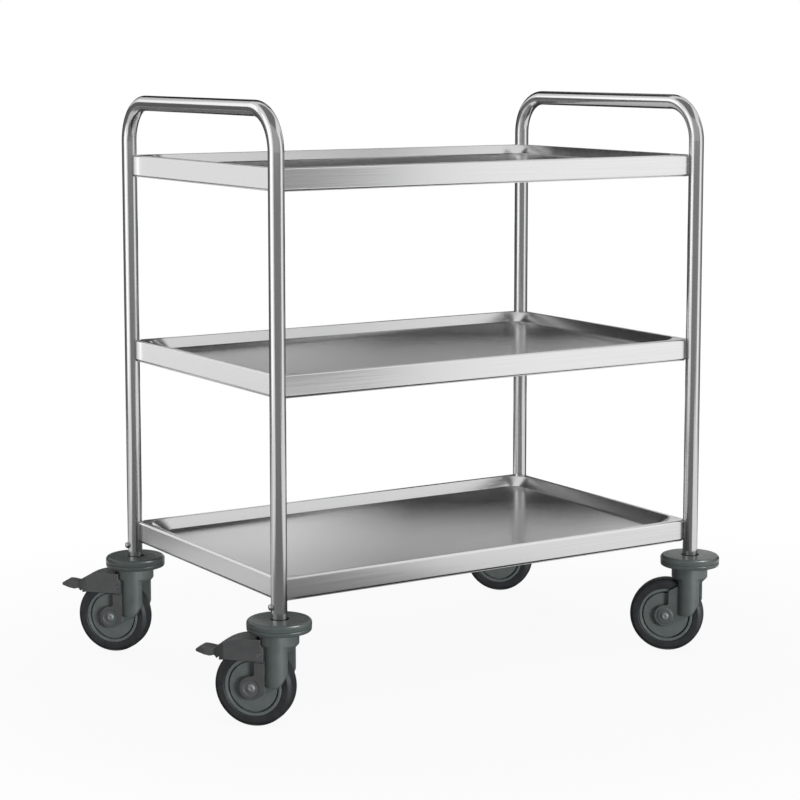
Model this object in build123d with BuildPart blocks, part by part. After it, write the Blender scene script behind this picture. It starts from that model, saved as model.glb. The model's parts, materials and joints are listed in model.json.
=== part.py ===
"""Shelf trolley: two bent tube end frames, three pressed trays between them, four swivel castors.

Origin on the floor, midway between the four legs. +X runs along the trays, the front faces -Y.
A castor is modelled about its own stem axis, trailing along -X, and then turned and set under a leg.
"""

import os
from math import atan2, cos, degrees, radians, sin

from build123d import *

# Trays
tray_length = 800.0
tray_width = 496.0
skirt_height = 35.0
sheet = 1.0
rim_width = 9.0
rim_edge_radius = 4.0
pan_depth = 15.0
pan_slope_run = 25.0
pan_corner_radius = 45.0
flange_width = 12.0
bottom_skirt_level = 193.0

# Tube end frames
tube_diameter = 25.0
tube_wall = 1.25
overall_height = 950.0
handle_above_rim = 99.6
handle_bend_radius = 65.0
leg_outside_tray_x = 2.0
leg_outside_tray_y = 3.0
weld_gap = 0.1

# Castor: wheel and axle
wheel_diameter = 125.0
tyre_width = 32.0
tyre_edge = 3.0
hub_diameter = 92.0
hub_web_recess = 4.0
hub_boss_diameter = 26.0
axle_diameter = 10.0
axle_proud = 3.0
castor_trail = 38.0
castor_turn = -48.0

# Castor: fork and bumper disc
fork_gap = 35.0
fork_plate = 3.5
fork_end_diameter = 37.0
fork_boss_diameter = 26.0
fork_boss_proud = 1.5
crown_diameter = 61.0
crown_height = 20.0
crown_floor = 5.0
crown_taper_depth = 11.0
crown_foot_diameter = 41.0
column_rear = 16.0
column_front = 19.5
column_depth = 10.5
column_foot_front = 9.0
column_foot_level = 67.0
column_foot_radius = 16.0
column_taper_level = 86.0
plate_rear = 33.0
plate_rear_level = 106.0
plate_front_level = 116.0
plate_foot_level = 55.0
plate_corner_radius = 4.5
disc_diameter = 100.0
disc_thickness = 18.0
disc_edge = 4.5
disc_recess_diameter = 30.0
disc_floor = 6.0
disc_bottom_level = 150.0

# Castor: stem
stem_plug_length = 60.0

# Brake
pedal_waist_reach = 102.0
pedal_waist_top = 117.3
pedal_waist_thickness = 11.0
pedal_waist_width = 22.0
pedal_leaf_width = 26.0
pedal_leaf_flare = 15.0
pedal_leaf_point = 17.0
pedal_leaf_rise = 2.0
pedal_leaf_belly = 1.7
pedal_belly_run = 7.0
pedal_nose_run = 11.0
pedal_nose_level = 111.0
pedal_nose_height = 3.0
pedal_nose_width = 16.0
pedal_tooth_run = 8.0
pedal_tooth_depth = 5.8
pedal_wall = 3.0
pedal_roof = 6.0
pedal_crest_level = 139.0
pedal_crest_reach = 45.0
pedal_leaf_radius = 5.0
pedal_cheek_level = 104.0
pedal_cheek_reach = 82.0
pedal_front = 33.0
pedal_cheek_front = 18.2
pedal_cheek_lean_level = 124.0
pedal_crown_reach = 22.4
pedal_pivot_reach = 24.0
pedal_pivot_level = 116.0
pedal_travel = 7.0
brake_pin_diameter = 6.0
shoe_front = 52.0
shoe_rear = 76.0
shoe_width = 18.0
cover_thickness = 3.0
cover_front = 17.2
cover_below_cheek = 1.7

# Clearances
running_clearance = 0.05
seat_clearance = 0.03
side_clearance = 0.3
pedal_side_clearance = 0.5
shoe_clearance = 0.4
tyre_clearance = 2.0

# Places that follow from the sizes
tube_radius = tube_diameter / 2
tube_bore_radius = tube_radius - tube_wall
leg_x = tray_length / 2 + leg_outside_tray_x
leg_y = tray_width / 2 + leg_outside_tray_y
handle_level = overall_height - tube_radius
top_skirt_level = overall_height - handle_above_rim - skirt_height
middle_skirt_level = (bottom_skirt_level + top_skirt_level) / 2
wheel_radius = wheel_diameter / 2
disc_top = disc_bottom_level + disc_thickness
leg_foot = disc_bottom_level + disc_floor
crown_top = disc_bottom_level - side_clearance
crown_bottom = disc_bottom_level - crown_height
stem_radius = tube_bore_radius - seat_clearance
plate_outer = fork_gap / 2 + fork_plate
column_outer = plate_outer + column_depth
boss_face = plate_outer + fork_boss_proud
cheek_inner = plate_outer + pedal_side_clearance
fork_end_top = wheel_radius + fork_end_diameter / 2
cover_top = pedal_cheek_level - cover_below_cheek
pedal_leaf_reach = pedal_waist_reach + pedal_leaf_flare
pedal_reach = pedal_leaf_reach + pedal_leaf_point
pedal_waist_bottom = pedal_waist_top - pedal_waist_thickness
wheel_plane = Plane((-castor_trail, 0, wheel_radius), z_dir=(0, 1, 0))

# The wheel's centre as the brake pedal sees it when it is down
pivot_to_wheel_x = pedal_pivot_reach - castor_trail
pivot_to_wheel_z = wheel_radius - pedal_pivot_level
travel_cos = cos(radians(pedal_travel))
travel_sin = sin(radians(pedal_travel))
locked_wheel_centre = (
    pivot_to_wheel_x * travel_cos + pivot_to_wheel_z * travel_sin - pedal_pivot_reach,
    pivot_to_wheel_z * travel_cos - pivot_to_wheel_x * travel_sin + pedal_pivot_level,
)

os.makedirs("parts", exist_ok=True)


def save(piece, name):
    piece.label = name
    export_step(piece, f"parts/{name}.step")


def end_frame(x):
    """One bent tube: two legs joined by the push handle, open at the feet."""
    with BuildPart() as frame:
        with BuildLine():
            FilletPolyline(
                (x, -leg_y, leg_foot),
                (x, -leg_y, handle_level),
                (x, leg_y, handle_level),
                (x, leg_y, leg_foot),
                radius=handle_bend_radius,
            )
        with BuildSketch(Plane((x, -leg_y, leg_foot))):
            Circle(tube_radius)
        sweep()
        with BuildSketch(Plane((x, 0, leg_foot))):
            with GridLocations(0, 2 * leg_y, 1, 2):
                Circle(tube_bore_radius)
        extrude(amount=handle_level - handle_bend_radius - leg_foot, mode=Mode.SUBTRACT)
    return frame.part


def shelf(skirt_level):
    """Pressed tray: flat rim with a rolled edge, sloped pan walls, skirt and a flange turned in under it."""
    rim_level = skirt_level + skirt_height
    pan_length = tray_length - 2 * rim_width
    pan_width = tray_width - 2 * rim_width
    slope = degrees(atan2(pan_slope_run, pan_depth))
    sheet_across_slope = sheet / cos(radians(slope))

    with BuildPart() as underside:
        with BuildSketch(Plane.XY.offset(skirt_level + sheet)):
            Rectangle(tray_length - 2 * sheet, tray_width - 2 * sheet)
        extrude(amount=skirt_height - 2 * sheet)
        fillet(underside.edges().group_by(Axis.Z)[-1], radius=rim_edge_radius - sheet)
        with BuildSketch(Plane.XY.offset(skirt_level)):
            Rectangle(tray_length - 2 * (sheet + flange_width), tray_width - 2 * (sheet + flange_width))
        extrude(amount=sheet)
        with BuildSketch(Plane.XY.offset(rim_level)):
            RectangleRounded(
                pan_length + 2 * sheet_across_slope,
                pan_width + 2 * sheet_across_slope,
                pan_corner_radius + sheet_across_slope,
            )
        extrude(amount=-(pan_depth + sheet), taper=slope, mode=Mode.SUBTRACT)

    with BuildPart() as tray:
        with BuildSketch(Plane.XY.offset(skirt_level)):
            Rectangle(tray_length, tray_width)
        extrude(amount=skirt_height)
        fillet(tray.edges().group_by(Axis.Z)[-1], radius=rim_edge_radius)
        with BuildSketch(Plane.XY.offset(rim_level)):
            RectangleRounded(pan_length, pan_width, pan_corner_radius)
        extrude(amount=-pan_depth, taper=slope, mode=Mode.SUBTRACT)
        add(underside.part, mode=Mode.SUBTRACT)
        with Locations((0, 0, skirt_level)):
            with GridLocations(2 * leg_x, 2 * leg_y, 2, 2):
                Cylinder(
                    tube_radius + weld_gap,
                    skirt_height,
                    align=(Align.CENTER, Align.CENTER, Align.MIN),
                    mode=Mode.SUBTRACT,
                )
    return tray.part


def leg_stem():
    """Round stem: plug in the tube above the disc, swivel journal in the fork's crown below it."""
    stem_foot = crown_bottom + crown_floor + side_clearance
    with BuildPart() as stem:
        with BuildSketch(Plane.XY.offset(stem_foot)):
            Circle(stem_radius)
        extrude(amount=leg_foot + stem_plug_length - stem_foot)
    return stem.part


def bumper_disc():
    """Moulded disc on the stem, with a bevelled top edge and a recess that takes the tube's end."""
    with BuildPart() as disc:
        with BuildSketch(Plane.XY.offset(disc_bottom_level)):
            Circle(disc_diameter / 2)
        extrude(amount=disc_thickness)
        chamfer(disc.edges().group_by(Axis.Z)[-1], disc_edge)
        with Locations((0, 0, disc_top)):
            CounterBoreHole(
                radius=stem_radius + seat_clearance,
                counter_bore_radius=disc_recess_diameter / 2,
                counter_bore_depth=disc_thickness - disc_floor,
                depth=disc_thickness,
            )
    return disc.part


def fork_end_outline(front, front_points):
    """Side view of a fork's lower end: round about the axle, with a strip up its front half to the points."""
    with BuildSketch() as outline:
        with Locations((-castor_trail, wheel_radius)):
            Circle(fork_end_diameter / 2)
        with BuildLine():
            Polyline(
                (-front, fork_end_top),
                (-front, plate_foot_level),
                (-castor_trail, wheel_radius),
                close=True,
            )
        make_face()
        make_hull()
        with BuildLine():
            Polyline((-plate_rear, wheel_radius), *front_points, close=True)
        make_face()
        rear_corners = outline.vertices().filter_by_position(Axis.X, -plate_rear, -plate_rear)
        fillet(rear_corners.sort_by(Axis.Y)[0], radius=plate_corner_radius)
    return outline.sketch


def fork(braked):
    """Moulded fork: round crown tapering over the wheel, side plates with axle bosses, rounded columns.

    A braked one has flush covers on its plates below the pedal's cheeks, and the pedal's pins above them.
    """
    near_plate = Plane.XZ.offset(fork_gap / 2)
    column_middle = (column_front - column_rear) / 2
    with BuildPart() as column:
        with BuildSketch(Plane.XY.offset(column_foot_level)):
            with BuildLine():
                ThreePointArc(
                    (-column_rear, -plate_outer),
                    (column_middle, -column_outer),
                    (column_front, -plate_outer),
                )
                Line((-column_rear, -plate_outer), (column_front, -plate_outer))
            make_face()
        extrude(amount=crown_top - column_foot_level)
        with BuildSketch(Plane.XZ.offset(plate_outer)) as outline:
            with BuildLine():
                Polyline(
                    (-column_rear, column_foot_level),
                    (-column_rear, crown_top),
                    (column_front, crown_top),
                    (column_front, column_taper_level),
                    (column_foot_front, column_foot_level),
                    close=True,
                )
            make_face()
            foot_corner = outline.vertices().filter_by_position(Axis.X, column_foot_front, column_foot_front)
            fillet(foot_corner, radius=column_foot_radius)
        extrude(amount=column_depth, mode=Mode.INTERSECT)

    with BuildPart() as taper:
        with Locations((0, 0, crown_bottom)):
            Cone(
                crown_foot_diameter / 2,
                crown_diameter / 2,
                crown_taper_depth,
                align=(Align.CENTER, Align.CENTER, Align.MAX),
            )
        with BuildSketch(Plane.XZ):
            with Locations((-castor_trail, wheel_radius)):
                Circle(wheel_radius + tyre_clearance)
        extrude(amount=fork_gap / 2, both=True, mode=Mode.SUBTRACT)

    with BuildPart() as body:
        with BuildSketch(near_plate):
            add(
                fork_end_outline(
                    column_rear,
                    [
                        (-plate_rear, plate_rear_level),
                        (-column_rear, plate_front_level),
                        (-column_rear, crown_bottom),
                        (column_front, crown_bottom),
                        (column_front, column_taper_level),
                        (column_foot_front, column_foot_level),
                        (-column_rear, plate_foot_level),
                    ],
                )
            )
        extrude(amount=fork_plate)
        with BuildSketch(near_plate):
            with Locations((-castor_trail, wheel_radius)):
                Circle(fork_boss_diameter / 2)
        extrude(amount=fork_plate + fork_boss_proud)
        if braked:
            with BuildSketch(near_plate):
                with BuildLine():
                    Polyline(
                        (-plate_rear, plate_rear_level),
                        (-plate_rear, crown_bottom),
                        (-column_rear, crown_bottom),
                        (-column_rear, plate_front_level),
                        close=True,
                    )
                make_face()
            extrude(amount=fork_plate)
            with BuildSketch(Plane.XZ.offset(plate_outer)):
                add(
                    fork_end_outline(
                        cover_front,
                        [
                            (-plate_rear, cover_top),
                            (-cover_front, cover_top),
                            (-cover_front, wheel_radius),
                        ],
                    )
                )
                with Locations((-castor_trail, wheel_radius)):
                    Circle(fork_boss_diameter / 2 + side_clearance, mode=Mode.SUBTRACT)
            extrude(amount=cover_thickness)
        add(column.part)
        mirror(about=Plane.XZ)
        with BuildSketch(Plane.XY.offset(crown_bottom)):
            Circle(crown_diameter / 2)
        extrude(amount=crown_top - crown_bottom)
        add(taper.part)
        with Locations((0, 0, crown_top)):
            Hole(stem_radius + running_clearance, depth=crown_top - crown_bottom - crown_floor)
        with BuildSketch(Plane.XZ):
            with Locations((-castor_trail, wheel_radius)):
                Circle(axle_diameter / 2 + seat_clearance)
        extrude(amount=column_outer, both=True, mode=Mode.SUBTRACT)
        if braked:
            with BuildSketch(Plane.XZ.offset(plate_outer)):
                with Locations((-pedal_pivot_reach, pedal_pivot_level)):
                    Circle(brake_pin_diameter / 2)
            pins = extrude(amount=pedal_side_clearance + pedal_wall)
            mirror(pins, about=Plane.XZ)
    return body.part


def wheel_hub():
    """Moulded hub: boss that runs on the axle and a flat web that lies back from the tyre's sides."""
    web_half = tyre_width / 2 - hub_web_recess
    boss_half = fork_gap / 2 - side_clearance
    with BuildPart() as hub:
        with BuildSketch(wheel_plane):
            Circle(hub_diameter / 2)
        extrude(amount=web_half, both=True)
        with BuildSketch(wheel_plane):
            Circle(hub_boss_diameter / 2)
        extrude(amount=boss_half, both=True)
        with BuildSketch(wheel_plane):
            Circle(axle_diameter / 2 + running_clearance)
        extrude(amount=boss_half, both=True, mode=Mode.SUBTRACT)
    return hub.part


def tyre():
    """Tyre moulded round the hub, bevelled at the tread's edges."""
    with BuildPart() as ring:
        with BuildSketch(wheel_plane):
            Circle(wheel_radius)
        extrude(amount=tyre_width / 2, both=True)
        chamfer(ring.edges(), tyre_edge)
        with BuildSketch(wheel_plane):
            Circle(hub_diameter / 2 + seat_clearance)
        extrude(amount=tyre_width / 2, both=True, mode=Mode.SUBTRACT)
    return ring.part


def wheel_axle():
    """Round axle through both fork plates, standing a little proud of their bosses."""
    with BuildPart() as axle:
        with BuildSketch(wheel_plane):
            Circle(axle_diameter / 2)
        extrude(amount=boss_face + axle_proud, both=True)
    return axle.part


def brake_pedal():
    """Moulded pedal: fender over the wheel, cheeks that pivot outside the fork plates, wedge-nosed leaf."""
    half_width = cheek_inner + pedal_wall
    roof = pedal_crest_level - pedal_roof
    with BuildPart() as pedal:
        with BuildSketch(Plane.XZ):
            with BuildLine():
                Line((-pedal_front, pedal_crest_level), (-pedal_crest_reach, pedal_crest_level))
                TangentArc(
                    (-pedal_crest_reach, pedal_crest_level),
                    (-pedal_waist_reach, pedal_waist_top),
                    tangent=(-1, 0),
                )
                Polyline(
                    (-pedal_waist_reach, pedal_waist_top),
                    (pedal_nose_run - pedal_reach, pedal_waist_top + pedal_leaf_rise),
                    (-pedal_reach, pedal_nose_level + pedal_nose_height / 2),
                    (-pedal_reach, pedal_nose_level - pedal_nose_height / 2),
                    (-pedal_waist_reach - pedal_belly_run, pedal_waist_bottom - pedal_leaf_belly),
                    (-pedal_waist_reach, pedal_waist_bottom),
                    (pedal_tooth_run - pedal_waist_reach, pedal_waist_bottom - pedal_tooth_depth),
                    (-pedal_cheek_reach, pedal_cheek_level),
                    (-pedal_front, pedal_cheek_level),
                    (-pedal_front, pedal_crest_level),
                )
            make_face()
        extrude(amount=half_width, both=True)
        with BuildSketch(Plane.XZ.offset(cheek_inner)):
            with BuildLine():
                Polyline(
                    (-pedal_front - pedal_wall, pedal_cheek_level),
                    (-pedal_cheek_front, pedal_cheek_level),
                    (-pedal_cheek_front, pedal_cheek_lean_level),
                    (-pedal_crown_reach, crown_bottom),
                    (-pedal_crown_reach, pedal_crest_level),
                    (-pedal_front - pedal_wall, pedal_crest_level),
                    close=True,
                )
            make_face()
        cheek_front = extrude(amount=pedal_wall)
        mirror(cheek_front, about=Plane.XZ)
        with BuildSketch(Plane.XY.offset(pedal_waist_bottom - pedal_tooth_depth)) as leaf:
            with BuildLine():
                Polyline(
                    (0, half_width),
                    (-pedal_cheek_reach, half_width),
                    (-pedal_waist_reach, pedal_waist_width / 2),
                    (-pedal_leaf_reach, pedal_leaf_width / 2),
                    (-pedal_reach, pedal_nose_width / 2),
                    (-pedal_reach, -pedal_nose_width / 2),
                    (-pedal_leaf_reach, -pedal_leaf_width / 2),
                    (-pedal_waist_reach, -pedal_waist_width / 2),
                    (-pedal_cheek_reach, -half_width),
                    (0, -half_width),
                    close=True,
                )
            make_face()
            fillet(leaf.vertices().sort_by(Axis.X)[:-2], radius=pedal_leaf_radius)
        extrude(amount=pedal_crest_level - pedal_waist_bottom + pedal_tooth_depth, mode=Mode.INTERSECT)
        with BuildSketch(Plane.XZ):
            with BuildLine():
                Line((0, roof), (-pedal_crest_reach, roof))
                TangentArc(
                    (-pedal_crest_reach, roof),
                    (-pedal_cheek_reach, pedal_waist_top),
                    tangent=(-1, 0),
                )
                Polyline(
                    (-pedal_cheek_reach, pedal_waist_top),
                    (-pedal_cheek_reach, 0),
                    (0, 0),
                    (0, roof),
                )
            make_face()
        extrude(amount=cheek_inner, both=True, mode=Mode.SUBTRACT)
        with BuildSketch(Plane.XZ):
            with Locations(locked_wheel_centre):
                Circle(wheel_radius + tyre_clearance)
        extrude(amount=fork_gap / 2, both=True, mode=Mode.SUBTRACT)
        with BuildSketch(Plane.XZ):
            with Locations((-pedal_pivot_reach, pedal_pivot_level)):
                Circle(brake_pin_diameter / 2 + running_clearance)
        extrude(amount=half_width, both=True, mode=Mode.SUBTRACT)
    return pedal.part


def brake_shoe():
    """Pad under the fender's roof, hollowed to the tyre as it stands against it when the pedal is down."""
    roof = pedal_crest_level - pedal_roof
    with BuildPart() as shoe:
        with BuildSketch(Plane.XZ):
            with BuildLine():
                TangentArc(
                    (-pedal_crest_reach, roof - seat_clearance),
                    (-pedal_cheek_reach, pedal_waist_top - seat_clearance),
                    tangent=(-1, 0),
                )
                Polyline(
                    (-pedal_cheek_reach, pedal_waist_top - seat_clearance),
                    (-pedal_cheek_reach, wheel_radius),
                    (-pedal_crest_reach, wheel_radius),
                    (-pedal_crest_reach, roof - seat_clearance),
                )
            make_face()
        extrude(amount=shoe_width / 2, both=True)
        with BuildSketch(Plane.XZ):
            with BuildLine():
                Polyline(
                    (-shoe_front, roof),
                    (-shoe_rear, roof),
                    (-shoe_rear, 0),
                    (-shoe_front, 0),
                    close=True,
                )
            make_face()
        extrude(amount=shoe_width / 2, both=True, mode=Mode.INTERSECT)
        with BuildSketch(Plane.XZ):
            with Locations(locked_wheel_centre):
                Circle(wheel_radius + shoe_clearance)
        extrude(amount=shoe_width, both=True, mode=Mode.SUBTRACT)
    return shoe.part


def placed(piece, places):
    with BuildPart() as group:
        with Locations(*places):
            add(piece)
    return group.part


save(end_frame(-leg_x), "left_end_frame")
save(end_frame(leg_x), "right_end_frame")
save(shelf(bottom_skirt_level), "bottom_shelf")
save(shelf(middle_skirt_level), "middle_shelf")
save(shelf(top_skirt_level), "top_shelf")

corners = {
    "front_left": (-leg_x, -leg_y),
    "rear_left": (-leg_x, leg_y),
    "front_right": (leg_x, -leg_y),
    "rear_right": (leg_x, leg_y),
}
leg_places = [Location((x, y, 0)) for x, y in corners.values()]
save(placed(leg_stem(), leg_places), "castor_stems")
save(placed(bumper_disc(), leg_places), "bumper_discs")

plain_castor = {
    "fork": fork(braked=False),
    "axle": wheel_axle(),
    "wheel_hub": wheel_hub(),
    "tyre": tyre(),
}
braked_castor = plain_castor | {
    "fork": fork(braked=True),
    "brake_pedal": brake_pedal(),
    "brake_shoe": brake_shoe(),
}
for corner, (x, y) in corners.items():
    castor = braked_castor if x < 0 else plain_castor
    for piece_name, piece in castor.items():
        castor_place = Location((x, y, 0), (0, 0, castor_turn))
        save(placed(piece, [castor_place]), f"{corner}_{piece_name}")
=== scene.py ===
"""Shelf trolley: two tube end frames, three pressed trays and four swivel castors, in a plain studio."""

import json
import math

import bmesh
import bpy
from mathutils import Matrix, Vector


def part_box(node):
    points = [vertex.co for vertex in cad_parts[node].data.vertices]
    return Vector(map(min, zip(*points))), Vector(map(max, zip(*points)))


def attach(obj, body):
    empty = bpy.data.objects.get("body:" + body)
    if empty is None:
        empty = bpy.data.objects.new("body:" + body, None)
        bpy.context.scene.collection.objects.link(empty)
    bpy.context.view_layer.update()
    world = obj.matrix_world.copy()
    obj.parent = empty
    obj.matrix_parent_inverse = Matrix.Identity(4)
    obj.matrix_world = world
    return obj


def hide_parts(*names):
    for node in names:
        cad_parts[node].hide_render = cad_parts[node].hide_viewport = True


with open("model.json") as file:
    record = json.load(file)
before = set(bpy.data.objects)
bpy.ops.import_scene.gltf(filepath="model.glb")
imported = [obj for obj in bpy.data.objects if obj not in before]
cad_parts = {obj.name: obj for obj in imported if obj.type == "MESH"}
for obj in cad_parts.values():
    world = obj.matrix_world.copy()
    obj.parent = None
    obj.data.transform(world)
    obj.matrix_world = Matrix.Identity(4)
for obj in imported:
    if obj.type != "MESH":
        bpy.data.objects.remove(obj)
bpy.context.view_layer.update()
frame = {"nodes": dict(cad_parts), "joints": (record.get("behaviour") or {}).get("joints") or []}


# End frames. Each is a single stainless tube, cold bent at its two upper corners so that the
# legs and the push handle are one run, then belt polished along its length.

left_low, left_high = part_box("left_end_frame")
tube_radius = (left_high.x - left_low.x) / 2
leg_x = -(left_low.x + tube_radius)
leg_y = left_high.y - tube_radius
leg_foot = left_low.z
handle_level = left_high.z - tube_radius
bend_radius = 0.065
tube_bore_radius = 0.01125
tube_sides = 64
bend_steps = 24
noise_low = 0.3
noise_high = 0.7


def new_piece(name, bm, finish, place=None):
    """Turns a bmesh into a smooth shaded object with one finish, set at its place."""
    bmesh.ops.recalc_face_normals(bm, faces=bm.faces)
    mesh = bpy.data.meshes.new(name)
    bm.to_mesh(mesh)
    bm.free()
    mesh.shade_smooth()
    mesh.materials.append(finish)
    piece = bpy.data.objects.new(name, mesh)
    bpy.context.scene.collection.objects.link(piece)
    if place is not None:
        piece.matrix_world = place
    return piece


def strip(bm, ring, next_ring):
    """Quads between two closed rings of points; returns them in the order of the points."""
    count = len(ring)
    return [
        bm.faces.new((ring[i], ring[(i + 1) % count], next_ring[(i + 1) % count], next_ring[i]))
        for i in range(count)
    ]


def new_finish(name, colour, roughness, metallic=0.0, **sockets):
    """A material whose even values stand on the shader itself; returns it with its tree and shader."""
    finish = bpy.data.materials.new(name)
    finish.use_nodes = True
    finish.diffuse_color = (*colour, 1.0)
    tree = finish.node_tree
    shader = tree.nodes["Principled BSDF"]
    shader.inputs["Base Color"].default_value = (*colour, 1.0)
    shader.inputs["Roughness"].default_value = roughness
    shader.inputs["Metallic"].default_value = metallic
    for socket, value in sockets.items():
        shader.inputs[socket.replace("_", " ")].default_value = value
    return finish, tree, shader


def grain(tree, coordinate, scale, detail=3.0):
    """Noise stretched by a scale for each direction of a texture coordinate; gives its 0 to 1 output."""
    place = tree.nodes.new("ShaderNodeTexCoord")
    stretch = tree.nodes.new("ShaderNodeMapping")
    stretch.inputs["Scale"].default_value = scale
    noise = tree.nodes.new("ShaderNodeTexNoise")
    noise.inputs["Scale"].default_value = 1.0
    noise.inputs["Detail"].default_value = detail
    tree.links.new(place.outputs[coordinate], stretch.inputs["Vector"])
    tree.links.new(stretch.outputs["Vector"], noise.inputs["Vector"])
    return noise.outputs["Fac"]


def spread(tree, source, low, high, socket):
    """Maps the middle of a noise to a range of values and feeds it to a socket."""
    to_range = tree.nodes.new("ShaderNodeMapRange")
    to_range.inputs["From Min"].default_value = noise_low
    to_range.inputs["From Max"].default_value = noise_high
    to_range.inputs["To Min"].default_value = low
    to_range.inputs["To Max"].default_value = high
    tree.links.new(source, to_range.inputs["Value"])
    tree.links.new(to_range.outputs["Result"], socket)


def tint(tree, source, dark, light, socket):
    """Blends two colours by a noise and feeds the result to a colour socket."""
    ramp = tree.nodes.new("ShaderNodeValToRGB")
    ramp.color_ramp.elements[0].position = noise_low
    ramp.color_ramp.elements[0].color = (*dark, 1.0)
    ramp.color_ramp.elements[1].position = noise_high
    ramp.color_ramp.elements[1].color = (*light, 1.0)
    tree.links.new(source, ramp.inputs["Fac"])
    tree.links.new(ramp.outputs["Color"], socket)


def relief(tree, shader, source, depth, under=None):
    """Raises the surface by a noise; a relief made before can be laid under it."""
    bump = tree.nodes.new("ShaderNodeBump")
    bump.inputs["Strength"].default_value = 1.0
    bump.inputs["Distance"].default_value = depth
    tree.links.new(source, bump.inputs["Height"])
    if under is not None:
        tree.links.new(under.outputs["Normal"], bump.inputs["Normal"])
    tree.links.new(bump.outputs["Normal"], shader.inputs["Normal"])
    return bump


tube_steel, tube_tree, tube_shader = new_finish(
    "polished_tube_steel",
    colour=(0.64, 0.64, 0.64),
    roughness=0.16,
    metallic=1.0,
    Specular_Tint=(0.5, 0.5, 0.5, 1.0),
)
belt_lines = grain(tube_tree, "UV", scale=(6.0, 900.0, 1.0))
spread(tube_tree, belt_lines, 0.13, 0.19, tube_shader.inputs["Roughness"])
tint(tube_tree, belt_lines, (0.61, 0.61, 0.615), (0.67, 0.67, 0.67), tube_shader.inputs["Base Color"])
relief(tube_tree, tube_shader, belt_lines, depth=0.000002)


def tube_stations():
    """Points along the tube, from foot to foot over the handle, each with its outward turn."""
    stations = [(-leg_y, leg_foot, 0.0)]
    for bend_y, first_turn in ((-leg_y + bend_radius, 0.0), (leg_y - bend_radius, math.pi / 2)):
        for step in range(bend_steps + 1):
            turn = first_turn + step / bend_steps * math.pi / 2
            y = bend_y - bend_radius * math.cos(turn)
            z = handle_level - bend_radius + bend_radius * math.sin(turn)
            stations.append((y, z, turn))
    stations.append((leg_y, leg_foot, math.pi))
    return stations


def tube_ring(bm, x, y, z, turn, radius):
    """Points round the tube at one station."""
    ring = []
    for side in range(tube_sides):
        angle = side / tube_sides * math.tau
        across = radius * math.cos(angle)
        out = radius * math.sin(angle)
        ring.append(bm.verts.new((x + across, y - out * math.cos(turn), z + out * math.sin(turn))))
    return ring


def end_frame(name, x):
    """Tube skin from foot to foot, with the open bores that take the castor stems."""
    bm = bmesh.new()
    along = bm.loops.layers.uv.new("along_tube")
    stations = tube_stations()
    rings = [tube_ring(bm, x, y, z, turn, tube_radius) for y, z, turn in stations]
    run = 0.0
    for i in range(len(rings) - 1):
        step = math.dist(stations[i][:2], stations[i + 1][:2])
        for side, face in enumerate(strip(bm, rings[i], rings[i + 1])):
            for corner, loop in enumerate(face.loops):
                around = side + (1 if corner in (1, 2) else 0)
                length = run + (step if corner in (2, 3) else 0.0)
                loop[along].uv = (length, around / tube_sides * math.tau * tube_radius)
        run += step
    bore_top = handle_level - bend_radius
    for foot_ring, (y, z, turn) in ((rings[0], stations[0]), (rings[-1], stations[-1])):
        bore_foot = tube_ring(bm, x, y, z, turn, tube_bore_radius)
        bore_end = tube_ring(bm, x, y, bore_top, turn, tube_bore_radius)
        strip(bm, foot_ring, bore_foot)
        strip(bm, bore_foot, bore_end)
        bm.faces.new(bore_end)
    piece = new_piece(name + "_tube", bm, tube_steel)
    piece.modifiers.new("true_edges", "WEIGHTED_NORMAL")
    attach(piece, "frame")
    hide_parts(name)


end_frame("left_end_frame", -leg_x)
end_frame("right_end_frame", leg_x)


# Trays. Each is pressed from one stainless sheet: a pan with sloped walls and rounded corners, a
# flat rim rolled over into a skirt, and a flange turned in below. Notches at the corners fit the legs.

tray_low, tray_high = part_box("top_shelf")
tray_half_length = tray_high.x
tray_half_width = tray_high.y
skirt_height = tray_high.z - tray_low.z
sheet = 0.001
rim_width = 0.009
rolled_radius = 0.004
rolled_steps = 8
flange_width = 0.012
fold_radius = 0.0035
fold_steps = 5
notch_clearance = 0.0001
notch_radius = tube_radius + notch_clearance
notch_steps = 12
notch_lead = 0.0025
least_lead = 0.0003
lead_steps = 6
pan_depth = 0.015
pan_slope_run = 0.025
pan_corner_radius = 0.045
pan_steps = 2 * lead_steps + notch_steps + 2
lip_radius = 0.003
lip_steps = 4
cove_radius = 0.008
cove_steps = 6


def arc(centre, radius, start, end, steps):
    """Points on an arc, both ends included."""
    points = []
    for step in range(steps + 1):
        angle = start + (end - start) * step / steps
        points.append((centre[0] + radius * math.cos(angle), centre[1] + radius * math.sin(angle)))
    return points


def all_round(corner):
    """Repeats the points of the rear right corner at all four, anticlockwise."""
    loop = []
    for turn_x, turn_y in ((1, 1), (-1, 1), (-1, -1), (1, -1)):
        points = [(turn_x * x, turn_y * y) for x, y in corner]
        loop += points if turn_x * turn_y > 0 else points[::-1]
    return loop


def tray_outline(inset):
    """Outline of the tray drawn in by an inset: straight sides and a round notch at each leg."""
    reach = notch_radius + notch_lead
    side_lead = (
        tray_half_length - notch_lead,
        leg_y - math.sqrt(reach**2 - (leg_x - tray_half_length + notch_lead) ** 2),
    )
    rear_lead = (
        leg_x - math.sqrt(reach**2 - (leg_y - tray_half_width + notch_lead) ** 2),
        tray_half_width - notch_lead,
    )
    side_turn = math.atan2(leg_y - side_lead[1], leg_x - side_lead[0])
    rear_turn = math.atan2(leg_y - rear_lead[1], leg_x - rear_lead[0])
    notch_start = side_turn + math.pi
    notch_end = rear_turn + math.pi
    lead_radius = max(notch_lead - inset, least_lead)
    corner = arc(side_lead, lead_radius, 0.0, side_turn, lead_steps)
    corner += arc((leg_x, leg_y), reach - lead_radius, notch_start, notch_end, notch_steps)
    corner += arc(rear_lead, lead_radius, rear_turn, math.pi / 2, lead_steps)
    return all_round(corner)


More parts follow.
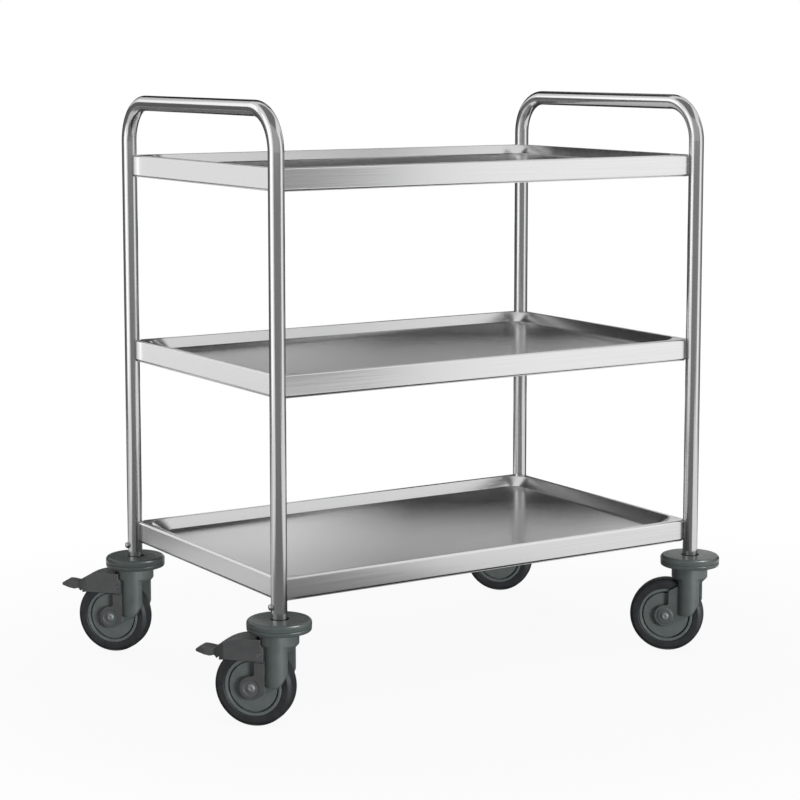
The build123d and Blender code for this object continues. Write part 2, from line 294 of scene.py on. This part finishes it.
def pan_outline(inset):
    """Outline of the pan drawn in by an inset, with as many points as the tray's."""
    centre = (
        tray_half_length - rim_width - pan_corner_radius,
        tray_half_width - rim_width - pan_corner_radius,
    )
    return all_round(arc(centre, pan_corner_radius - inset, 0.0, math.pi / 2, pan_steps))


def tray_levels():
    """Outlines of the sheet from the flange's edge up over the rolled rim and down to the pan floor."""
    skirt_foot = -skirt_height
    slope = math.atan2(pan_depth, pan_slope_run)
    lip_run = lip_radius * math.tan(slope / 2)
    cove_run = cove_radius * math.tan(slope / 2)
    fold = arc((fold_radius, skirt_foot + fold_radius), fold_radius, -math.pi / 2, -math.pi, fold_steps)
    rolled = arc((rolled_radius, -rolled_radius), rolled_radius, math.pi, math.pi / 2, rolled_steps)
    lip = arc((-lip_run, -lip_radius), lip_radius, math.pi / 2, math.pi / 2 - slope, lip_steps)
    cove_centre = (pan_slope_run + cove_run, cove_radius - pan_depth)
    cove = arc(cove_centre, cove_radius, -math.pi / 2 - slope, -math.pi / 2, cove_steps)
    levels = [(tray_outline(flange_width), skirt_foot)]
    levels += [(tray_outline(inset), level) for inset, level in fold + rolled]
    levels += [(pan_outline(inset), level) for inset, level in lip + cove]
    return levels


tray_steel, tray_tree, tray_shader = new_finish(
    "satin_tray_steel",
    colour=(0.69, 0.69, 0.69),
    roughness=0.21,
    metallic=1.0,
)
brush_lines = grain(tray_tree, "Object", scale=(5.0, 700.0, 700.0))
sheet_wave = grain(tray_tree, "Object", scale=(5.0, 7.0, 7.0), detail=1.0)
spread(tray_tree, brush_lines, 0.18, 0.24, tray_shader.inputs["Roughness"])
tint(tray_tree, brush_lines, (0.66, 0.66, 0.665), (0.72, 0.72, 0.72), tray_shader.inputs["Base Color"])
wave_relief = relief(tray_tree, tray_shader, sheet_wave, depth=0.00012)
relief(tray_tree, tray_shader, brush_lines, depth=0.000001, under=wave_relief)


def tray(name):
    """One tray: the sheet's outer side, thickened inward."""
    rim_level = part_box(name)[1].z
    bm = bmesh.new()
    rings = []
    for outline, level in tray_levels():
        rings.append([bm.verts.new((x, y, rim_level + level)) for x, y in outline])
    for ring, next_ring in zip(rings, rings[1:]):
        strip(bm, ring, next_ring)
    bm.faces.new(rings[-1])
    piece = new_piece(name + "_tray", bm, tray_steel)
    thickness = piece.modifiers.new("sheet", "SOLIDIFY")
    thickness.thickness = sheet
    thickness.offset = -1.0
    piece.modifiers.new("true_edges", "WEIGHTED_NORMAL")
    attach(piece, "frame")
    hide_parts(name)


for shelf_name in ("bottom_shelf", "middle_shelf", "top_shelf"):
    tray(shelf_name)


# Castor stems. Plain turned steel bars, bright zinc plated, pressed up into the tube feet and running
# down through the disc into the fork's crown.

plated_steel, plated_tree, plated_shader = new_finish(
    "bright_zinc",
    colour=(0.55, 0.56, 0.58),
    roughness=0.28,
    metallic=1.0,
)
plating = grain(plated_tree, "Object", scale=(160.0, 160.0, 160.0))
spread(plated_tree, plating, 0.22, 0.36, plated_shader.inputs["Roughness"])
tint(plated_tree, plating, (0.5, 0.51, 0.53), (0.62, 0.63, 0.64), plated_shader.inputs["Base Color"])


def dress(node, finish):
    """Gives a carried-over CAD node its finish."""
    slots = frame["nodes"][node].data.materials
    slots.clear()
    slots.append(finish)


dress("castor_stems", plated_steel)


# Bumper discs. Moulded grey plastic, one on each stem below the tray to keep walls and doors off the
# steel, with a rounded top edge, a groove above a lip at the foot and a recess for the tube's end.

disc_low, disc_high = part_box("bumper_discs")
disc_radius = disc_high.x - leg_x
disc_thickness = disc_high.z - disc_low.z
disc_floor = 0.006
disc_recess_radius = 0.015
disc_edge_radius = 0.0055
disc_foot_inset = 0.0008
disc_lip_height = 0.0055
disc_lip_rounding = 0.0016
disc_groove_depth = 0.0016
disc_groove_width = 0.0022
stem_radius = tube_bore_radius
turn_sides = 96
nearly_straight = math.radians(89.0)
legs = [(turn_x * leg_x, turn_y * leg_y) for turn_x in (-1, 1) for turn_y in (-1, 1)]


def rounded(corners, steps=6):
    """A closed profile, with each corner (radius out, height, rounding) turned into an arc."""
    points = []
    for i, (r, h, rounding) in enumerate(corners):
        here = Vector((r, h))
        before = (Vector(corners[i - 1][:2]) - here).normalized()
        after = (Vector(corners[(i + 1) % len(corners)][:2]) - here).normalized()
        half = before.angle(after) / 2
        if rounding <= 0.0 or half > nearly_straight:
            points.append((r, h))
            continue
        run = rounding / math.tan(half)
        start, end = here + before * run, here + after * run
        middle = here + (before + after).normalized() * (rounding / math.sin(half))
        sweep = (start - middle).angle_signed(end - middle)
        for step in range(steps + 1):
            arm = (start - middle).copy()
            arm.rotate(Matrix.Rotation(-sweep * step / steps, 2))
            points.append(tuple(middle + arm))
    return points


def turned(bm, profile, place=Matrix.Identity(4), sides=turn_sides):
    """A ring turned about its Z axis from a closed profile of (radius, height) points."""
    rings = []
    for r, h in profile:
        ring = []
        for side in range(sides):
            angle = side / sides * math.tau
            ring.append(bm.verts.new(place @ Vector((r * math.cos(angle), r * math.sin(angle), h))))
        rings.append(ring)
    for ring, next_ring in zip(rings, rings[1:] + rings[:1]):
        strip(bm, ring, next_ring)


def moulded_finish(name, colour, roughness, shades, sheens, patches, grains=900.0, depth=0.00002):
    """A moulded plastic or rubber: the mould's fine grain, and patches a little rougher and lighter."""
    finish, tree, shader = new_finish(name, colour, roughness)
    mould_grain = grain(tree, "Object", (grains, grains, grains))
    handling = grain(tree, "Object", (patches, patches, patches))
    spread(tree, handling, *sheens, shader.inputs["Roughness"])
    tint(tree, handling, *shades, shader.inputs["Base Color"])
    relief(tree, shader, mould_grain, depth)
    return finish


disc_plastic = moulded_finish(
    "bumper_grey",
    colour=(0.075, 0.092, 0.088),
    roughness=0.3,
    shades=((0.07, 0.086, 0.082), (0.082, 0.1, 0.096)),
    sheens=(0.26, 0.34),
    patches=40.0,
)

disc_profile = rounded(
    [
        (stem_radius, 0.0, 0.0),
        (disc_radius - disc_foot_inset, 0.0, 0.0026),
        (disc_radius, disc_lip_height, disc_lip_rounding),
        (disc_radius - disc_groove_depth, disc_lip_height + disc_groove_width / 2, 0.0007),
        (disc_radius, disc_lip_height + disc_groove_width, disc_lip_rounding),
        (disc_radius, disc_thickness, disc_edge_radius),
        (disc_recess_radius, disc_thickness, 0.0012),
        (disc_recess_radius, disc_floor, 0.0),
        (stem_radius, disc_floor, 0.0),
    ]
)
bm = bmesh.new()
for x, y in legs:
    turned(bm, disc_profile, Matrix.Translation((x, y, disc_low.z)))
discs = new_piece("bumper_discs_moulded", bm, disc_plastic)
discs.modifiers.new("true_edges", "WEIGHTED_NORMAL")
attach(discs, "frame")
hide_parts("bumper_discs")


# Leg screws. A zinc plated dome head screw goes through the outer side of each leg at the braked end,
# just above the disc, and grips the castor's stem.

screw_level = 0.187
screw_head_radius = 0.0053
screw_head_height = 0.0056
screw_wall_height = 0.0016
screw_shoulder_radius = screw_head_radius * 0.86
screw_shoulder_height = 0.0042
screw_crown_radius = screw_head_radius * 0.45
screw_sunk = 0.001
screw_sides = 40
axis_hole = 0.0001

screw_profile = rounded(
    [
        (axis_hole, -screw_sunk, 0.0),
        (screw_head_radius, -screw_sunk, 0.0),
        (screw_head_radius, screw_wall_height, 0.0004),
        (screw_shoulder_radius, screw_shoulder_height, 0.0014),
        (screw_crown_radius, screw_head_height, 0.0012),
        (axis_hole, screw_head_height, 0.0),
    ],
    steps=5,
)
bm = bmesh.new()
for x, y in legs:
    if x < 0.0:
        seat = Matrix.Translation((x - tube_radius, y, screw_level))
        turned(bm, screw_profile, seat @ Matrix.Rotation(-math.pi / 2, 4, "Y"), screw_sides)
screws = new_piece("leg_screws", bm, plated_steel)
screws.modifiers.new("true_edges", "WEIGHTED_NORMAL")
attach(screws, "frame")


# Forks. Glass filled grey plastic, moulded in one with the crown that turns on the stem, rounded
# columns down the sides and plates that carry the axle in raised bosses.

corners = ("front_left", "rear_left", "front_right", "rear_right")
joints = {joint["name"]: joint for joint in frame["joints"]}
fork_cell = 0.0008
fork_passes = 5

fork_plastic = moulded_finish(
    "fork_grey",
    colour=(0.078, 0.094, 0.091),
    roughness=0.46,
    shades=((0.072, 0.087, 0.084), (0.085, 0.103, 0.099)),
    sheens=(0.4, 0.54),
    patches=45.0,
)


def soften(node, cell, passes):
    """Rounds a CAD node's edges as its mould does: an even skin of small cells, eased a few times."""
    piece = frame["nodes"][node]
    skin = piece.modifiers.new("one_skin", "REMESH")
    skin.mode = "VOXEL"
    skin.voxel_size = cell
    skin.use_smooth_shade = True
    ease = piece.modifiers.new("mould_edges", "SMOOTH")
    ease.factor = 0.5
    ease.iterations = passes
    lighten = piece.modifiers.new("fewer_cells", "DECIMATE")
    lighten.ratio = 0.25


for corner in corners:
    dress(corner + "_fork", fork_plastic)
    soften(corner + "_fork", fork_cell, fork_passes)


# Axles. Each is a plated steel bolt through both fork plates, with a low dome head on the outer side
# and a dome nut on the inner.

axle_radius = 0.005
axle_half = 0.0255
axle_head_radius = 0.0068
axle_head_height = 0.003
axle_head_wall = 0.001
axle_crown_radius = axle_head_radius * 0.6
axle_head_seat = axle_half - axle_head_height
axle_sides = 48


def along_axle(corner):
    """Place of a wheel: its centre, with Z along its axle."""
    joint = joints[corner + "_roll"]
    turn = Vector(joint["axis"]).to_track_quat("Z", "X").to_matrix().to_4x4()
    return Matrix.Translation(joint["pos_m"]) @ turn


def other_half(half):
    """The second half of a profile that is the same on both sides of its middle."""
    return [(r, -h, rounding) for r, h, rounding in reversed(half)]


dull_zinc, dull_tree, dull_shader = new_finish(
    "dull_zinc",
    colour=(0.25, 0.255, 0.26),
    roughness=0.66,
    metallic=0.6,
)
dull_plating = grain(dull_tree, "Object", scale=(200.0, 200.0, 200.0))
spread(dull_tree, dull_plating, 0.6, 0.72, dull_shader.inputs["Roughness"])
tint(dull_tree, dull_plating, (0.22, 0.225, 0.23), (0.28, 0.285, 0.29), dull_shader.inputs["Base Color"])

half_axle = [
    (axle_radius, axle_head_seat, 0.0),
    (axle_head_radius, axle_head_seat, 0.0),
    (axle_head_radius, axle_head_seat + axle_head_wall, 0.0008),
    (axle_crown_radius, axle_half, 0.0015),
    (axis_hole, axle_half, 0.0),
]
axle_profile = rounded(other_half(half_axle) + half_axle, steps=5)
for corner in corners:
    bm = bmesh.new()
    turned(bm, axle_profile, sides=axle_sides)
    piece = new_piece(corner + "_axle_bolt", bm, dull_zinc, along_axle(corner))
    piece.modifiers.new("true_edges", "WEIGHTED_NORMAL")
    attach(piece, corner + "_swivel")
    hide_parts(corner + "_axle")


# Wheel hubs. Grey plastic discs with a boss that runs on the axle, a narrow groove round the web and,
# outside it, a raised bead where the tyre is moulded on.

hub_radius = 0.046
hub_bore = 0.00505
hub_boss_radius = 0.013
hub_boss_half = 0.0172
web_half = 0.0126
groove_inner = 0.0386
groove_outer = 0.041
groove_floor_half = 0.0082
bead_half = 0.0154
bead_fall = 0.0003
bead_edge = 0.0012

hub_plastic = moulded_finish(
    "hub_grey",
    colour=(0.11, 0.128, 0.124),
    roughness=0.45,
    shades=((0.1, 0.117, 0.113), (0.12, 0.139, 0.135)),
    sheens=(0.4, 0.54),
    patches=50.0,
)

half_hub = [
    (hub_bore, hub_boss_half, 0.0005),
    (hub_boss_radius, hub_boss_half, 0.001),
    (hub_boss_radius, web_half, 0.002),
    (groove_inner, web_half, 0.0006),
    (groove_inner, groove_floor_half, 0.0006),
    (groove_outer, groove_floor_half, 0.0006),
    (groove_outer, bead_half - bead_fall, 0.0012),
    (hub_radius - bead_edge, bead_half, 0.001),
    (hub_radius, bead_half - bead_edge, 0.0004),
]
hub_profile = rounded(half_hub + other_half(half_hub), steps=4)
for corner in corners:
    bm = bmesh.new()
    turned(bm, hub_profile)
    piece = new_piece(corner + "_hub_moulded", bm, hub_plastic, along_axle(corner))
    piece.modifiers.new("true_edges", "WEIGHTED_NORMAL")
    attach(piece, corner + "_wheel")
    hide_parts(corner + "_wheel_hub")


# Tyres. Near black rubber, moulded round the hubs, with a slightly crowned tread and rounded
# shoulders that run down to the hub's bead.

wheel_radius = 0.0625
tyre_seat = 0.04603
tyre_half = 0.016
tyre_foot_inset = 0.002
tyre_foot_rise = 0.0016
wall_fall = 0.0003
shoulder_radius = 0.0065
shoulder_inset = 0.0035
tread_crown = 0.0006
tyre_sides = 128

tyre_rubber = moulded_finish(
    "tyre_rubber",
    colour=(0.016, 0.018, 0.021),
    roughness=0.55,
    shades=((0.014, 0.016, 0.018), (0.022, 0.024, 0.027)),
    sheens=(0.48, 0.66),
    patches=60.0,
    grains=1200.0,
    depth=0.00003,
)

half_tyre = [
    (tyre_seat, tyre_half - tyre_foot_inset, 0.0003),
    (tyre_seat + tyre_foot_rise, tyre_half - wall_fall, 0.0008),
    (wheel_radius - shoulder_radius, tyre_half, 0.004),
    (wheel_radius - tread_crown, tyre_half - shoulder_inset, 0.004),
]
tread_middle = (wheel_radius, 0.0, 0.02)
tyre_profile = rounded([*half_tyre, tread_middle, *other_half(half_tyre)])
for corner in corners:
    bm = bmesh.new()
    turned(bm, tyre_profile, sides=tyre_sides)
    piece = new_piece(corner + "_tyre_moulded", bm, tyre_rubber, along_axle(corner))
    piece.modifiers.new("true_edges", "WEIGHTED_NORMAL")
    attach(piece, corner + "_wheel")
    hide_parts(corner + "_tyre")


# Brake pedals and shoes. The pedal is charcoal plastic, a fender over the wheel that ends in a waisted
# foot leaf; under its roof sits the rubber shoe that bears on the tyre.

braked_corners = ("front_left", "rear_left")
pedal_cell = 0.0006
pedal_passes = 14

pedal_plastic = moulded_finish(
    "pedal_charcoal",
    colour=(0.07, 0.071, 0.073),
    roughness=0.48,
    shades=((0.064, 0.065, 0.067), (0.077, 0.078, 0.08)),
    sheens=(0.4, 0.56),
    patches=55.0,
)

for corner in braked_corners:
    dress(corner + "_brake_pedal", pedal_plastic)
    soften(corner + "_brake_pedal", pedal_cell, pedal_passes)
    dress(corner + "_brake_shoe", tyre_rubber)


# Brake covers. Thin charcoal plastic covers, clipped flush on the braked forks' plates below the pedal,
# round about the axle and open over its boss.

axle_reach = -0.038
axle_level = wheel_radius
cover_seat = 0.021
cover_face = 0.0242
cover_rear = -0.03315
cover_front = -0.01705
cover_top = 0.10245
cover_foot = 0.05485
cover_round = 0.01865
cover_round_steps = 40
cover_corner = 0.0043
cover_corner_steps = 8
cover_hole = 0.01315
cover_edge = 0.0006


def cover_outline():
    """Side view of a cover, from its front foot up and round behind the axle."""
    round_top = axle_level + cover_round
    foot_drop = math.hypot(cover_front - axle_reach, axle_level - cover_foot)
    foot_turn = math.atan2(cover_foot - axle_level, cover_front - axle_reach)
    last_turn = foot_turn - math.acos(cover_round / foot_drop)
    corner = (cover_rear - cover_corner, round_top + cover_corner)
    axle = (axle_reach, axle_level)
    points = [(cover_front, cover_foot), (cover_front, cover_top), (cover_rear, cover_top)]
    points += arc(corner, cover_corner, 0.0, -math.pi / 2, cover_corner_steps)
    points += arc(axle, cover_round, math.pi / 2, last_turn + math.tau, cover_round_steps)
    return points


def cover(bm, place, side):
    """One cover: its face with the hole over the boss, and walls back to the fork plate."""
    hole = arc((axle_reach, axle_level), cover_hole, 0.0, math.tau, cover_round_steps)[:-1]
    edges = []
    for points in (cover_outline(), hole):
        rings = []
        for depth in (cover_face, cover_seat):
            rings.append([bm.verts.new(place @ Vector((x, side * depth, z))) for x, z in points])
        face_ring, seat_ring = rings
        strip(bm, face_ring, seat_ring)
        edges += [bm.edges.get((a, b)) for a, b in zip(face_ring, face_ring[1:] + face_ring[:1])]
    bmesh.ops.triangle_fill(bm, use_beauty=True, edges=edges)


for corner in braked_corners:
    swivel = joints[corner + "_swivel"]["pos_m"]
    roll = joints[corner + "_roll"]["axis"]
    castor_turn = Matrix.Rotation(math.atan2(-roll[0], roll[1]), 4, "Z")
    castor_place = Matrix.Translation((swivel[0], swivel[1], 0.0)) @ castor_turn
    bm = bmesh.new()
    for side in (-1, 1):
        cover(bm, castor_place, side)
    piece = new_piece(corner + "_brake_covers", bm, pedal_plastic)
    edges = piece.modifiers.new("mould_edges", "BEVEL")
    edges.width = cover_edge
    edges.segments = 2
    edges.limit_method = "ANGLE"
    edges.angle_limit = math.radians(50.0)
    edges.harden_normals = True
    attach(piece, corner + "_swivel")


# Studio. A pale floor that runs out to white, soft lamps round the trolley, some of them for the tubes,
# the trays, the discs or one castor alone, and cards out of the picture that give the steel its bands;
# the dark card under the trolley is painted shadow, the trolley's own shadow as the steel mirrors it.

camera_turn = -32.382
trolley_middle = (0.0, 0.0, 0.5)
trolley_foot = (0.0, 0.0, 0.15)
between_shelves = (0.0, 0.0, 0.3)
floor_half = 6.0
floor_colour = (0.86, 0.86, 0.86)
floor_glow = 0.93
shadow_start = 0.55
shadow_reach = 1.3
card_level = 0.003
painted_shadow_level = 0.004
card_fade = 0.6
no_fade = 1000.0


def studio_place(right, toward, level):
    """A place in the studio, so far right of the trolley's middle and so far toward the camera."""
    turn = math.radians(camera_turn)
    return (
        right * math.cos(turn) + toward * math.sin(turn),
        right * math.sin(turn) - toward * math.cos(turn),
        level,
    )


def seen_straight_or_mirrored(tree):
    """One for what the camera sees straight, mirrored or through something, zero for matt light."""
    ray = tree.nodes.new("ShaderNodeLightPath")
    seen = ray.outputs["Is Camera Ray"]
    for kind in ("Is Glossy Ray", "Is Transmission Ray"):
        either = tree.nodes.new("ShaderNodeMath")
        either.operation = "MAXIMUM"
        tree.links.new(seen, either.inputs[0])
        tree.links.new(ray.outputs[kind], either.inputs[1])
        seen = either.outputs["Value"]
    return seen


def card(name, points, shade):
    """A flat card of one shade, seen only where the trolley mirrors it; gives its shader tree."""
    bm = bmesh.new()
    bm.faces.new([bm.verts.new(studio_place(*point)) for point in points])
    finish = bpy.data.materials.new(name)
    finish.use_nodes = True
    tree = finish.node_tree
    tree.nodes.remove(tree.nodes["Principled BSDF"])
    glow = tree.nodes.new("ShaderNodeEmission")
    glow.name = "glow"
    glow.inputs["Color"].default_value = (shade, shade, shade, 1.0)
    tree.links.new(glow.outputs["Emission"], tree.nodes["Material Output"].inputs["Surface"])
    piece = new_piece(name, bm, finish)
    piece.visible_camera = False
    piece.visible_diffuse = False
    piece.visible_shadow = False
    piece.visible_transmission = False
    return tree


def standing_card(name, start, end, low, high, shade):
    """An upright card between two places on the floor plan."""
    card(name, [(*start, low), (*end, low), (*end, high), (*start, high)], shade)


def flat_card(name, outline, level, shade):
    """A level card with an outline on the floor plan."""
    return card(name, [(*point, level) for point in outline], shade)


def lying_card(name, start, end, level, shade):
    """A level card between two opposite corners on the floor plan."""
    (right_1, toward_1), (right_2, toward_2) = start, end
    outline = ((right_1, toward_1), (right_2, toward_1), (right_2, toward_2), (right_1, toward_2))
    return flat_card(name, outline, level, shade)


def faded_card(name, start, end, level, shade):
    """A lying card that is whole along its middle and fades out at its left and right edges."""
    (right_1, toward_1), (right_2, toward_2) = start, end
    card_middle = studio_place((right_1 + right_2) / 2, (toward_1 + toward_2) / 2, level)
    tree = lying_card(name, start, end, level, shade)
    place = tree.nodes.new("ShaderNodeTexCoord")
    across = tree.nodes.new("ShaderNodeMapping")
    across.vector_type = "TEXTURE"
    across.inputs["Location"].default_value = card_middle
    across.inputs["Rotation"].default_value = (0.0, 0.0, math.radians(camera_turn))
    across.inputs["Scale"].default_value = ((right_2 - right_1) / 2, no_fade, no_fade)
    fade = tree.nodes.new("ShaderNodeTexGradient")
    fade.gradient_type = "SPHERICAL"
    whole = tree.nodes.new("ShaderNodeMapRange")
    whole.inputs["From Max"].default_value = card_fade
    clear = tree.nodes.new("ShaderNodeBsdfTransparent")
    blend = tree.nodes.new("ShaderNodeMixShader")
    tree.links.new(place.outputs["Object"], across.inputs["Vector"])
    tree.links.new(across.outputs["Vector"], fade.inputs["Vector"])
    tree.links.new(fade.outputs["Fac"], whole.inputs["Value"])
    tree.links.new(whole.outputs["Result"], blend.inputs["Fac"])
    tree.links.new(clear.outputs["BSDF"], blend.inputs[1])
    tree.links.new(tree.nodes["glow"].outputs["Emission"], blend.inputs[2])
    tree.links.new(blend.outputs["Shader"], tree.nodes["Material Output"].inputs["Surface"])


def lit_group(name, pieces):
    """The pieces that a lamp of their own lights."""
    group = bpy.data.collections.new(name)
    for piece in pieces:
        group.objects.link(piece)
    return group


def softbox(name, size, place, aim, glow, mirrored=True, matt=True, pieces=None):
    """A soft lamp of one brightness, for mirrored light, matt light or both, on all or some pieces."""
    width, height = size
    lamp = bpy.data.lights.new(name, "AREA")
    lamp.shape = "RECTANGLE"
    lamp.size = width
    lamp.size_y = height
    lamp.energy = glow * math.pi * width * height
    light = bpy.data.objects.new(name, lamp)
    light.location = place
    light.rotation_euler = (Vector(aim) - Vector(place)).to_track_quat("-Z", "Y").to_euler()
    light.visible_glossy = mirrored
    light.visible_diffuse = matt
    if pieces is not None:
        light.light_linking.receiver_collection = pieces
        light.light_linking.blocker_collection = pieces
    bpy.context.scene.collection.objects.link(light)


def side_softbox(name, size, right, toward, level, glow, matt=True, pieces=None):
    """A softbox that faces straight across the studio from one side."""
    place = studio_place(right, toward, level)
    aim = studio_place(0.0, toward, level)
    softbox(name, size, place, aim, glow, matt=matt, pieces=pieces)


bm = bmesh.new()
floor_corners = ((-1, -1), (1, -1), (1, 1), (-1, 1))
bm.faces.new([bm.verts.new((x * floor_half, y * floor_half, 0.0)) for x, y in floor_corners])
floor_finish, floor_tree, floor_shader = new_finish("pale_floor", floor_colour, roughness=0.9)
floor_output = floor_tree.nodes["Material Output"]
floor_white = floor_tree.nodes.new("ShaderNodeEmission")
floor_white.inputs["Color"].default_value = (1.0, 1.0, 1.0, 1.0)
floor_blend = floor_tree.nodes.new("ShaderNodeMixShader")
floor_place = floor_tree.nodes.new("ShaderNodeTexCoord")
floor_distance = floor_tree.nodes.new("ShaderNodeVectorMath")
floor_distance.operation = "LENGTH"
floor_fade = floor_tree.nodes.new("ShaderNodeMapRange")
floor_fade.interpolation_type = "SMOOTHSTEP"
floor_fade.inputs["From Min"].default_value = shadow_start
floor_fade.inputs["From Max"].default_value = shadow_reach
floor_fade.inputs["To Min"].default_value = floor_glow
floor_tree.links.new(floor_place.outputs["Object"], floor_distance.inputs[0])
floor_tree.links.new(floor_distance.outputs["Value"], floor_fade.inputs["Value"])
floor_seen = floor_tree.nodes.new("ShaderNodeMath")
floor_seen.operation = "MULTIPLY"
floor_tree.links.new(floor_fade.outputs["Result"], floor_seen.inputs[0])
floor_tree.links.new(seen_straight_or_mirrored(floor_tree), floor_seen.inputs[1])
floor_tree.links.new(floor_seen.outputs["Value"], floor_blend.inputs["Fac"])
floor_tree.links.new(floor_shader.outputs["BSDF"], floor_blend.inputs[1])
floor_tree.links.new(floor_white.outputs["Emission"], floor_blend.inputs[2])
floor_tree.links.new(floor_blend.outputs["Shader"], floor_output.inputs["Surface"])
floor = new_piece("floor", bm, floor_finish)

meshes = [piece for piece in bpy.context.scene.objects if piece.type == "MESH"]
tubes = lit_group("tube_pieces", [piece for piece in meshes if piece.name.endswith("_tube")])
trays = lit_group("tray_pieces", [piece for piece in meshes if piece.name.endswith("_tray")])
bumpers = lit_group("disc_pieces", [discs])
side_softbox("left_softbox", (2.0, 2.5), -2.4, 1.3, 1.35, glow=0.6, matt=False, pieces=tubes)
side_softbox("left_rear_softbox", (1.5, 1.4), -2.4, -0.95, 1.95, glow=0.6, matt=False, pieces=tubes)
side_softbox("right_softbox", (1.25, 2.6), 2.4, 0.875, 1.1, glow=0.2)
side_softbox("left_low_softbox", (1.9, 1.3), -2.4, -0.9, 0.65, glow=0.85, matt=False, pieces=trays)
rear_place = studio_place(-1.4, -2.2, 0.5)
top_place = studio_place(0.0, 0.3, 3.2)
key_place = studio_place(1.37, 1.63, 1.8)
disc_place = studio_place(2.6, 0.9, 3.6)
fill_place = studio_place(1.3, 2.6, 0.6)
softbox("rear_softbox", (2.6, 0.8), rear_place, trolley_foot, glow=8.0, mirrored=False)
softbox("top_softbox", (2.6, 2.6), top_place, trolley_middle, glow=1.1, mirrored=False)
softbox("key_softbox", (1.6, 1.6), key_place, between_shelves, glow=1.0, mirrored=False)
softbox("disc_softbox", (1.6, 2.0), disc_place, trolley_foot, glow=17.0, matt=False, pieces=bumpers)
softbox(
    "disc_fill_softbox", (0.8, 0.7), fill_place, trolley_foot, glow=30.0, mirrored=False, pieces=bumpers
)
for corner in corners:
    castor = lit_group(corner + "_pieces", [piece for piece in meshes if piece.name.startswith(corner)])
    wheel_middle = Vector(joints[corner + "_roll"]["pos_m"])
    castor_lamp_place = wheel_middle + Vector(studio_place(1.3, 2.0, 0.45))
    softbox(corner + "_softbox", (0.6, 0.6), castor_lamp_place, wheel_middle, glow=44.0, pieces=castor)

standing_card("grey_card_front", (-1.45, 2.2), (2.4, 2.2), low=-0.2, high=0.8, shade=0.26)
standing_card("light_card_front", (-1.45, 2.2), (2.4, 2.2), low=0.8, high=3.4, shade=0.48)
standing_card("grey_card_side", (2.4, 2.4), (2.4, 1.5), low=-0.2, high=2.6, shade=0.33)
standing_card("dark_card_back_low", (-1.1, -2.45), (1.3, -2.45), low=0.93, high=1.45, shade=0.07)
standing_card("dark_card_back", (-1.7, -2.45), (0.9, -2.45), low=1.45, high=3.7, shade=0.03)
standing_card("pale_card_back", (0.05, -2.43), (0.34, -2.43), low=1.7, high=2.9, shade=0.7)
faded_card("dark_card_low_shelf", (-0.27, -1.6), (0.63, -0.66), level=0.35, shade=0.05)
faded_card("dark_card_middle_shelf", (-0.3, -1.5), (0.54, -0.72), level=0.62, shade=0.05)
standing_card("dark_card_left", (-2.8, -1.6), (-0.7, -2.6), low=0.0, high=1.2, shade=0.06)
standing_card("dark_card_left_side", (-2.5, -1.75), (-2.5, 0.45), low=0.0, high=1.3, shade=0.17)
standing_card("dark_card_right_side", (2.4, 0.0), (2.4, -1.3), low=0.0, high=2.2, shade=0.35)
standing_card("dark_card_right", (2.4, -1.3), (1.4, -2.2), low=0.0, high=1.2, shade=0.05)
lying_card("grey_card_ceiling", (-1.7, -1.0), (1.7, 2.2), level=3.4, shade=0.22)
grey_floor_outline = ((-1.2, 0.3), (0.6, 0.3), (1.45, 2.2), (-1.2, 2.2))
flat_card("grey_card_floor", grey_floor_outline, card_level, shade=0.2)
lying_card("grey_card_floor_left", (-2.4, -1.9), (-1.1, -0.35), card_level, shade=0.25)
lying_card("pale_card_floor_left", (-2.4, -0.35), (-0.9, 0.6), card_level, shade=0.72)
lying_card("dark_card_floor_right", (0.3, -2.3), (2.2, -0.75), card_level, shade=0.08)
lying_card("dark_card_floor_rear", (-1.1, -2.5), (0.3, -1.1), card_level, shade=0.08)
# Painted shadow: this dark card under the trolley stands in for its shadow on the floor, seen only in
# the steel's reflections.
painted_shadow_outline = (
    (-0.75, -0.6), (0.75, -0.6), (0.74, 0.42), (0.06, 0.85), (-0.585, 0.67), (-0.85, 0.24),
)
flat_card("dark_card_floor", painted_shadow_outline, painted_shadow_level, shade=0.05)

world = bpy.data.worlds.new("studio")
world.use_nodes = True
bpy.context.scene.world = world
sky_tree = world.node_tree
ambient = sky_tree.nodes["Background"]
ambient.inputs["Color"].default_value = (1.0, 1.0, 1.0, 1.0)
ambient.inputs["Strength"].default_value = 0.2
backdrop = sky_tree.nodes.new("ShaderNodeBackground")
backdrop.inputs["Color"].default_value = (1.0, 1.0, 1.0, 1.0)
backdrop.inputs["Strength"].default_value = 1.0
sky_blend = sky_tree.nodes.new("ShaderNodeMixShader")
sky_tree.links.new(seen_straight_or_mirrored(sky_tree), sky_blend.inputs["Fac"])
sky_tree.links.new(ambient.outputs["Background"], sky_blend.inputs[1])
sky_tree.links.new(backdrop.outputs["Background"], sky_blend.inputs[2])
sky_tree.links.new(sky_blend.outputs["Shader"], sky_tree.nodes["World Output"].inputs["Surface"])


# Camera. A long lens at the trolley's front left, a little above the top tray and tilted slightly down,
# with its picture shifted so that the whole trolley stays in view.

camera_place = (-1.9914, -3.0993, 1.0195)
camera_tilt = 6.926

lens = bpy.data.cameras.new("long_lens")
lens.lens = 98.97
lens.sensor_width = 36.0
lens.shift_y = -0.10
camera = bpy.data.objects.new("camera", lens)
camera.location = camera_place
camera.rotation_euler = (math.radians(90.0 - camera_tilt), 0.0, math.radians(camera_turn))
bpy.context.scene.collection.objects.link(camera)
bpy.context.scene.camera = camera
bpy.context.scene.view_settings.view_transform = "Standard"
